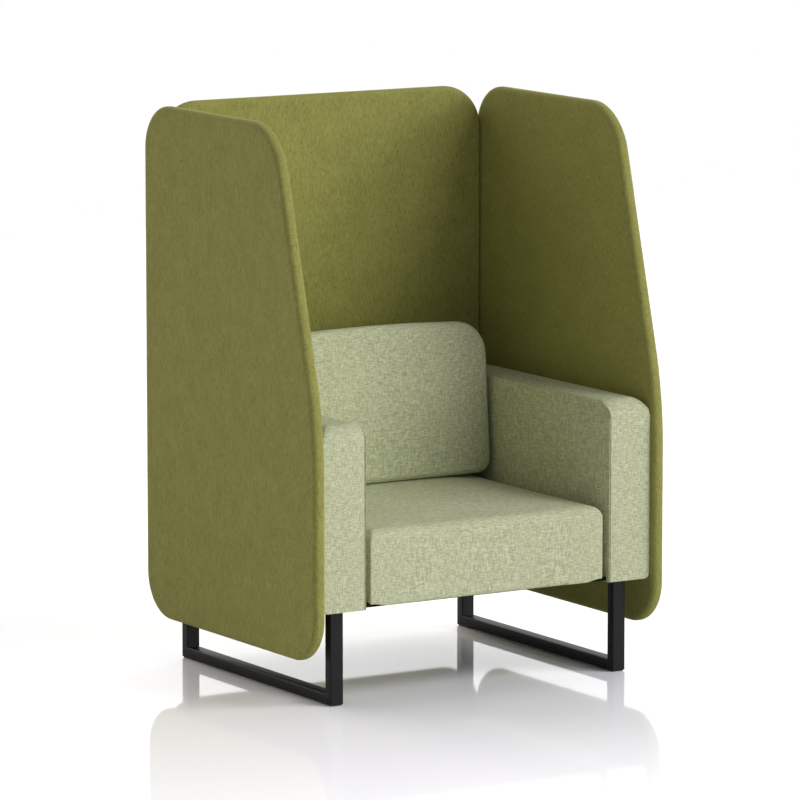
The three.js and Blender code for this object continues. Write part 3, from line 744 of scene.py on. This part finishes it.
back_front = back_low[1] + back_lean
back = add_block(
    "back_upholstery",
    (back_low[0], back_front, back_low[2]),
    (back_high[0], back_high[1], back_shoulder_height),
)
bpy.ops.object.mode_set(mode="EDIT")
bow_shares = (-0.7, -0.35, 0, 0.35, 0.7)
for share in bow_shares:
    cut_across(0, share * back_high[0])
for share in bow_shares:
    pick("VERT", lambda vert: abs(vert.co.x - share * back_high[0]) < 0.1 * mm
         and vert.co.z > back_shoulder_height - mm)
    bpy.ops.transform.translate(value=(0, 0, back_bow * (1 - share ** 2)))
pick("VERT", lambda vert: vert.co.z > back_shoulder_height - mm and vert.co.y > back_high[1] - mm)
bpy.ops.transform.translate(value=(0, 0, -back_fall))
pick("VERT", lambda vert: vert.co.z < back_low[2] + mm and vert.co.y < back_front + mm)
bpy.ops.transform.translate(value=(0, -back_lean, 0))
pick("EDGE", lambda edge: min(vert.co.z for vert in edge.verts) > back_shoulder_height - back_fall - mm
     and min(abs(vert.co.x) for vert in edge.verts) > back_high[0] - mm and runs_along(1)(edge))
bevel(back_shoulder, back_shoulder_segments)
pick("EDGE", lambda edge: max(vert.co.z for vert in edge.verts) < back_low[2] + mm
     and min(abs(vert.co.x) for vert in edge.verts) > back_high[0] - mm and runs_along(1)(edge))
bevel(back_foot, back_foot_segments)
pick("EDGE", lambda edge: any(face.normal.y < -0.9 for face in edge.link_faces)
     and not all(face.normal.y < -0.9 for face in edge.link_faces))
bevel(back_roll, roll_segments)
bpy.ops.object.mode_set(mode="OBJECT")
swell(back, back_voxel, back_easing, (0, back_crown, 0), back_low, back_high)
back.select_set(True)
bpy.ops.object.shade_smooth_by_angle(angle=soft_smooth_angle)
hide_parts("back_cover", "back_foam")

# Wool weave in a sage melange: loose threads of a few near greens, drawn 2.2 mm wide, which show for
# 15 mm before they dive under. On each face only the threads that lie in it are seen.
weave, tree, shader, place = start_material("sage_wool_weave")
thread_width = 2.2 * mm
thread_run = 15 * mm
fibre_size = 1.5 * mm
normal = add_node(
    tree, "ShaderNodeSeparateXYZ", i0=add_node(tree, "ShaderNodeTexCoord").outputs["Normal"],
)
tones = None
for axis in range(3):
    sizes = [thread_width] * 3
    sizes[axis] = thread_run
    laid = add_node(tree, "ShaderNodeMapping", Vector=place, Scale=[1 / size for size in sizes])
    thread = add_node(tree, "ShaderNodeTexNoise", Vector=laid.outputs[0], Scale=1.0, Detail=1.0)
    level = add_node(
        tree, "ShaderNodeMath", {"operation": "SUBTRACT"}, i0=thread.outputs[0], i1=0.5,
    )
    facing = add_node(tree, "ShaderNodeMath", {"operation": "ABSOLUTE"}, i0=normal.outputs[axis])
    seen = add_node(tree, "ShaderNodeMath", {"operation": "SUBTRACT"}, i0=1.0, i1=facing.outputs[0])
    tones = add_node(
        tree, "ShaderNodeMath", {"operation": "MULTIPLY_ADD"},
        i0=level.outputs[0], i1=seen.outputs[0], i2=tones.outputs[0] if tones else 0.5,
    )
fibre = add_node(tree, "ShaderNodeTexNoise", Vector=place, Scale=1 / fibre_size, Detail=1.0)
tones = add_node(
    tree, "ShaderNodeMath", {"operation": "MULTIPLY_ADD"},
    i0=fibre.outputs[0], i1=0.3, i2=tones.outputs[0],
)
sage = add_node(
    tree, "ShaderNodeValToRGB",
    {"stops": [(0.40, "#aeb28c"), (0.65, "#c6cba2"), (0.90, "#dadfb9")]},
    Fac=tones.outputs[0],
)
tree.links.new(sage.outputs["Color"], shader.inputs["Base Color"])
shader.inputs["Roughness"].default_value = 0.9
shader.inputs["Sheen Weight"].default_value = 0.1
shader.inputs["Sheen Roughness"].default_value = 0.5
threads = add_node(tree, "ShaderNodeBump", Strength=0.5, Distance=0.5 * mm, Height=tones.outputs[0])
tree.links.new(threads.outputs["Normal"], shader.inputs["Normal"])
for cushion in (*arms.values(), seat, back):
    cushion.data.materials.clear()
    cushion.data.materials.append(weave)
    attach(cushion, "root")


# Screens: two wings and a back, each a 24 mm board in a needled wool felt sleeve, 30 mm in all. The
# felt is drawn tight over a soft edge, so the faces are flat, the rims round and no seam shows.
screen_thickness = 30 * mm
screen_underside = 110 * mm
screen_rim = 12 * mm
rim_segments = 6
screen_corner = 108 * mm
screen_segments = 24
chair_half_width = 485 * mm
chair_half_depth = 400 * mm
chair_height = 1350 * mm
wing_bend_height = 662 * mm
wing_crest_setback = 187 * mm
wing_crest_reach = 107 * mm
wing_bend_reach = 108 * mm
back_screen_corner = 106 * mm
rim_margin = 6 * mm
screen_gap = 0.3 * mm


def round_screen(axis):
    pick("EDGE", lambda edge: borders(axis, 1)(edge) or borders(axis, -1)(edge))
    bevel(screen_rim, rim_segments)
    pick("FACE", lambda face: abs(face.normal[axis]) > 0.9999 and len(face.verts) > 4)
    bpy.ops.mesh.inset(thickness=rim_margin)
    bpy.ops.object.mode_set(mode="OBJECT")
    bpy.ops.object.shade_smooth()


def at_corner(y, z):
    """Whether an edge runs across the wing's thickness at the given depth and height."""
    def test(edge):
        return runs_along(0)(edge) and abs(edge.verts[0].co.y - y) < mm and abs(edge.verts[0].co.z - z) < mm
    return test


wing = add_block(
    "right_screen_felt",
    (chair_half_width - screen_thickness, -chair_half_depth, screen_underside),
    (chair_half_width, chair_half_depth, chair_height),
)
bpy.ops.object.mode_set(mode="EDIT")
cut_across(2, wing_bend_height)
bend = at_corner(-chair_half_depth, wing_bend_height)
pick("EDGE", lambda edge: all(abs(vert.co.z - wing_bend_height) < mm for vert in edge.verts)
     and not bend(edge))
bpy.ops.mesh.dissolve_edges(use_verts=True)
pick("EDGE", at_corner(-chair_half_depth, chair_height))
bpy.ops.transform.translate(value=(0, wing_crest_setback, 0))
crest = at_corner(wing_crest_setback - chair_half_depth, chair_height)
pick("EDGE", lambda edge: runs_along(0)(edge) and not crest(edge) and not bend(edge))
bevel(screen_corner, screen_segments)
pick("EDGE", crest)
bevel(wing_crest_reach, screen_segments)
pick("EDGE", bend)
bevel(wing_bend_reach, screen_segments)
round_screen(0)

half = chair_half_width - screen_thickness - screen_gap
back_screen = add_block(
    "back_screen_felt",
    (-half, chair_half_depth - screen_thickness, screen_underside),
    (half, chair_half_depth, chair_height),
)
bpy.ops.object.mode_set(mode="EDIT")
pick("EDGE", runs_along(1))
bevel(back_screen_corner, screen_segments)
round_screen(1)
screens = {"left": mirrored(wing, "left_screen_felt"), "right": wing, "back": back_screen}
for side, screen in screens.items():
    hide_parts(f"{side}_screen_sleeve")

# Needled wool felt, piece-dyed olive: short fibres of near greens, combed upright by the needles
# and some 2.6 mm apart as drawn here, with a few dark hairs; it is matt, with a soft sheen
felt, tree, shader, place = start_material("olive_wool_felt")
fibre_sizes = (2.6 * mm, 2.6 * mm, 14 * mm)
cloud_size = 60 * mm
hair_sizes = (3 * mm, 3 * mm, 6 * mm)
combed = add_node(
    tree, "ShaderNodeMapping", Vector=place, Scale=[1 / size for size in fibre_sizes],
)
fibres = add_node(
    tree, "ShaderNodeTexNoise", Vector=combed.outputs[0], Scale=1.0, Detail=2.0, Roughness=0.6,
)
clouds = add_node(tree, "ShaderNodeTexNoise", Vector=place, Scale=1 / cloud_size, Detail=1.0)
mixed = add_node(
    tree, "ShaderNodeMath", {"operation": "MULTIPLY_ADD"},
    i0=clouds.outputs[0], i1=0.25, i2=fibres.outputs[0],
)
melange = add_node(
    tree, "ShaderNodeValToRGB",
    {"stops": [(0.40, "#878644"), (0.56, "#94934b"), (0.66, "#9a994e"), (0.84, "#a5a35a")]},
    Fac=mixed.outputs[0],
)
strewn = add_node(tree, "ShaderNodeMapping", Vector=place, Scale=[1 / size for size in hair_sizes])
hairs = add_node(tree, "ShaderNodeTexNoise", Vector=strewn.outputs[0], Scale=1.0, Detail=0.0)
dark_hairs = add_node(
    tree, "ShaderNodeValToRGB", {"stops": [(0.20, "#c0c0c0"), (0.28, "#ffffff")]},
    Fac=hairs.outputs[0],
)
coloured = add_node(
    tree, "ShaderNodeMix", {"data_type": "RGBA", "blend_type": "MULTIPLY"},
    Factor=1.0, i6=melange.outputs["Color"], i7=dark_hairs.outputs["Color"],
)
tree.links.new(coloured.outputs[2], shader.inputs["Base Color"])
shader.inputs["Roughness"].default_value = 0.95
shader.inputs["Sheen Weight"].default_value = 0.12
shader.inputs["Sheen Roughness"].default_value = 0.5
shader.inputs["Sheen Tint"].default_value = linear("#b9bb7a")
nap = add_node(tree, "ShaderNodeBump", Strength=0.4, Distance=0.5 * mm, Height=fibres.outputs[0])
tree.links.new(nap.outputs["Normal"], shader.inputs["Normal"])
for screen in screens.values():
    screen.data.materials.append(felt)
    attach(screen, "root")


# Floor: a glossy white sheet. To the camera it is white where the lamps reach it, with painted light that
# brightens it most along the rear legs and painted shade that makes it a little dimmer towards the front.
# It keeps the chair's shadow, and it mirrors the chair, most along the rear legs and least from two metres
# away.
floor_half = 8000 * mm
floor_thickness = 10 * mm
mirror_middle = 370 * mm
mirror_reach = 2000 * mm
mirror_near = 0.67
mirror_far = 0.14
bright_reach = 700 * mm
bright_near = 2.5
bright_far = 2.1
dim_from = 900 * mm
dim_to = 2400 * mm
dimmed = 0.8
floor = add_block(
    "floor", (-floor_half, -floor_half, -floor_thickness), (floor_half, floor_half, 0),
)
floor_material = bpy.data.materials.new("white_gloss_floor")
floor_material.use_nodes = True
tree = floor_material.node_tree
tree.nodes.clear()
place = add_node(tree, "ShaderNodeTexCoord").outputs["Object"]
depth = add_node(tree, "ShaderNodeSeparateXYZ", i0=place).outputs[1]
from_rear = add_node(
    tree, "ShaderNodeMath", {"operation": "SUBTRACT"}, i0=mirror_middle, i1=depth,
)
away = add_node(tree, "ShaderNodeMath", {"operation": "ABSOLUTE"}, i0=from_rear.outputs[0])
share = add_node(
    tree, "ShaderNodeMapRange", Value=away.outputs[0],
    From_Max=mirror_reach, To_Min=mirror_near, To_Max=mirror_far,
)
gloss = add_node(tree, "ShaderNodeBsdfGlossy", Color=(1, 1, 1, 1), Roughness=0.05)
# Painted light: to the camera the floor is made brighter the nearer it lies to the rear legs
rear_painted_light = add_node(
    tree, "ShaderNodeMapRange", Value=away.outputs[0],
    From_Max=bright_reach, To_Min=bright_near, To_Max=bright_far,
)
# Painted shade: to the camera the floor is made a little dimmer towards the front
front_painted_shade = add_node(
    tree, "ShaderNodeMapRange", Value=away.outputs[0],
    From_Min=dim_from, From_Max=dim_to, To_Min=1.0, To_Max=dimmed,
)
painted_floor_level = add_node(
    tree, "ShaderNodeMath", {"operation": "MULTIPLY"},
    i0=rear_painted_light.outputs[0], i1=front_painted_shade.outputs[0],
)
bright = add_node(tree, "ShaderNodeBsdfDiffuse", Color=painted_floor_level.outputs[0])
seen = add_node(
    tree, "ShaderNodeMixShader", i0=share.outputs[0], i1=bright.outputs[0], i2=gloss.outputs[0],
)
matt = add_node(tree, "ShaderNodeBsdfDiffuse", Color=(0.8, 0.8, 0.8, 1))
path = add_node(tree, "ShaderNodeLightPath")
both = add_node(
    tree, "ShaderNodeMixShader",
    i0=path.outputs["Is Camera Ray"], i1=matt.outputs[0], i2=seen.outputs[0],
)
add_node(tree, "ShaderNodeOutputMaterial", Surface=both.outputs[0])
floor.data.materials.append(floor_material)


# Light: soft lamps in front, to the right, and one behind on each side, in a white room that is
# bright to the camera and in what is mirrored, and dim as a light. The right rear lamp would show
# in the floor under the seat, so nothing mirrors it.
room_light = 0.15
world = bpy.data.worlds.new("studio")
bpy.context.scene.world = world
world.use_nodes = True
tree = world.node_tree
tree.nodes.clear()
path = add_node(tree, "ShaderNodeLightPath")
direct = add_node(
    tree, "ShaderNodeMath", {"operation": "MAXIMUM"},
    i0=path.outputs["Is Camera Ray"], i1=path.outputs["Is Glossy Ray"],
)
strength = add_node(
    tree, "ShaderNodeMath", {"operation": "MULTIPLY_ADD"},
    i0=direct.outputs[0], i1=1 - room_light, i2=room_light,
)
tint = add_node(
    tree, "ShaderNodeMix", {"data_type": "RGBA"},
    Factor=direct.outputs[0], i6=(1.05, 1, 1.3, 1), i7=(1, 1, 1, 1),
)
room = add_node(
    tree, "ShaderNodeBackground", Color=tint.outputs[2], Strength=strength.outputs[0],
)
add_node(tree, "ShaderNodeOutputWorld", Surface=room.outputs[0])


def add_lamp(name, azimuth, elevation, strength, spread, colour=(1, 1, 1)):
    """Adds a lamp of so many degrees across; its azimuth is counted from the front to the right."""
    data = bpy.data.lights.new(name, "SUN")
    data.energy = strength
    data.color = colour
    data.angle = math.radians(spread)
    lamp = bpy.data.objects.new(name, data)
    a, e = math.radians(azimuth), math.radians(elevation)
    towards = Vector((math.sin(a) * math.cos(e), -math.cos(a) * math.cos(e), math.sin(e)))
    lamp.rotation_mode = "QUATERNION"
    lamp.rotation_quaternion = (-towards).to_track_quat("-Z", "Y")
    bpy.context.scene.collection.objects.link(lamp)
    return lamp


add_lamp("front_low", 15, 8, 0.39, 25)
add_lamp("right_low", 35, 8, 0.67, 25)
add_lamp("right_high", 35, 45, 0.67, 25)
add_lamp("right_side", 55, 25, 0.72, 25)
rear_right = add_lamp("rear_right", 150, 25, 0.9, 60)
rear_right.visible_glossy = False
add_lamp("rear_left", -150, 25, 0.98, 60, (1.08, 1.03, 0.9))
